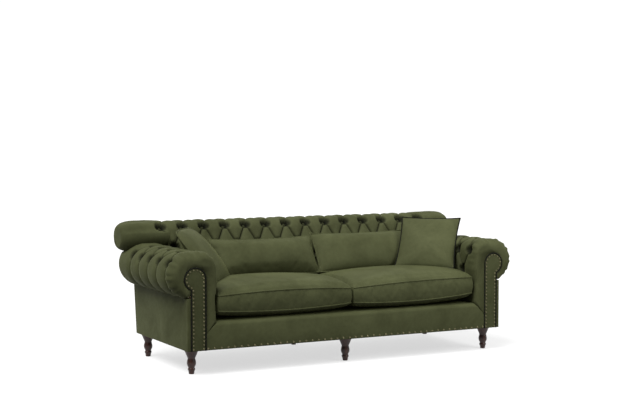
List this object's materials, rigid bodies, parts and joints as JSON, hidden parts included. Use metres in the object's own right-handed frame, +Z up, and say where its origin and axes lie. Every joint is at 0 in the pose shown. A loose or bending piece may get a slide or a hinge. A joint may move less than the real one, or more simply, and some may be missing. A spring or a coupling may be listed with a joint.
{
  "type": "chesterfield sofa",
  "caption": "Rolled-arm sofa in olive velvet with a deep-buttoned back and arms, loose seat, lumbar and scatter cushions, nail trim and turned wooden legs.",
  "frame": {"origin": "on the floor under the middle of the bounding box", "axes": "+X along the sofa's length to its right as seen from the front, -Y towards the front, +Z up"},
  "size_m": [2.35, 0.945, 0.8297],
  "materials": {
    "velvet": "olive green velvet pile",
    "deck_cloth": "plain olive platform cloth",
    "under_cloth": "thin black under-cloth",
    "webbing": "woven jute",
    "dark_piping": "dark corded piping",
    "filling": "white inner pad",
    "frame_timber": "sawn timber",
    "walnut": "dark red-brown polish",
    "nail_brass": "antiqued bronze-green",
    "steel": "zinc plated"
  },
  "bodies": {
    "frame": {"arm_buttons": "velvet", "arm_facing_left": "velvet", "arm_facing_right": "velvet", "arm_front_post_left": "frame_timber", "arm_front_post_right": "frame_timber", "arm_pad_left": "velvet", "arm_pad_right": "velvet", "arm_rear_post_left": "frame_timber", "arm_rear_post_right": "frame_timber", "arm_side_rail_left": "frame_timber", "arm_side_rail_right": "frame_timber", "arm_top_rail_left": "frame_timber", "arm_top_rail_right": "frame_timber", "back_buttons": "velvet", "back_pad": "velvet", "back_rib_left": "frame_timber", "back_rib_right": "frame_timber", "back_ribs_inner": "frame_timber", "back_top_rail": "frame_timber", "border_nails": "nail_brass", "centre_rail": "frame_timber", "deck_pad": "deck_cloth", "dust_cover": "under_cloth", "facing_nails": "nail_brass", "facing_piping": "dark_piping", "front_border": "velvet", "front_rail": "frame_timber", "leg_blocks": "frame_timber", "leg_bolts": "steel", "legs_front": "walnut", "legs_rear": "walnut", "outside_arm_left": "velvet", "outside_arm_right": "velvet", "outside_back": "velvet", "rear_rail": "frame_timber", "scroll_board_left": "frame_timber", "scroll_board_right": "frame_timber", "seat_back_rail": "frame_timber", "seat_side_rail_left": "frame_timber", "seat_side_rail_right": "frame_timber", "seat_webbing": "webbing"},
    "seat_left": {"seat_cushion_left": "velvet", "seat_core_left": "filling"},
    "lumbar_left": {"lumbar_cushion_left": "velvet", "lumbar_pad_left": "filling"},
    "scatter_left": {"scatter_cushion_left": "velvet", "scatter_pad_left": "filling"},
    "seat_right": {"seat_cushion_right": "velvet", "seat_core_right": "filling"},
    "lumbar_right": {"lumbar_cushion_right": "velvet", "lumbar_pad_right": "filling"},
    "scatter_right": {"scatter_cushion_right": "velvet", "scatter_pad_right": "filling"}
  },
  "joints": [
    {"name": "seat_left_pull", "type": "slide", "parent": "frame", "child": "seat_left", "axis": [0, -1, 0], "range_m": [0, 0.25]},
    {"name": "lumbar_left_lift", "type": "slide", "parent": "frame", "child": "lumbar_left", "axis": [0, 0, 1], "range_m": [0, 0.3]},
    {"name": "scatter_left_lift", "type": "slide", "parent": "lumbar_left", "child": "scatter_left", "axis": [0, 0, 1], "range_m": [0, 0.35]},
    {"name": "seat_right_pull", "type": "slide", "parent": "frame", "child": "seat_right", "axis": [0, -1, 0], "range_m": [0, 0.25]},
    {"name": "lumbar_right_lift", "type": "slide", "parent": "frame", "child": "lumbar_right", "axis": [0, 0, 1], "range_m": [0, 0.3]},
    {"name": "scatter_right_lift", "type": "slide", "parent": "lumbar_right", "child": "scatter_right", "axis": [0, 0, 1], "range_m": [0, 0.35]}
  ]
}
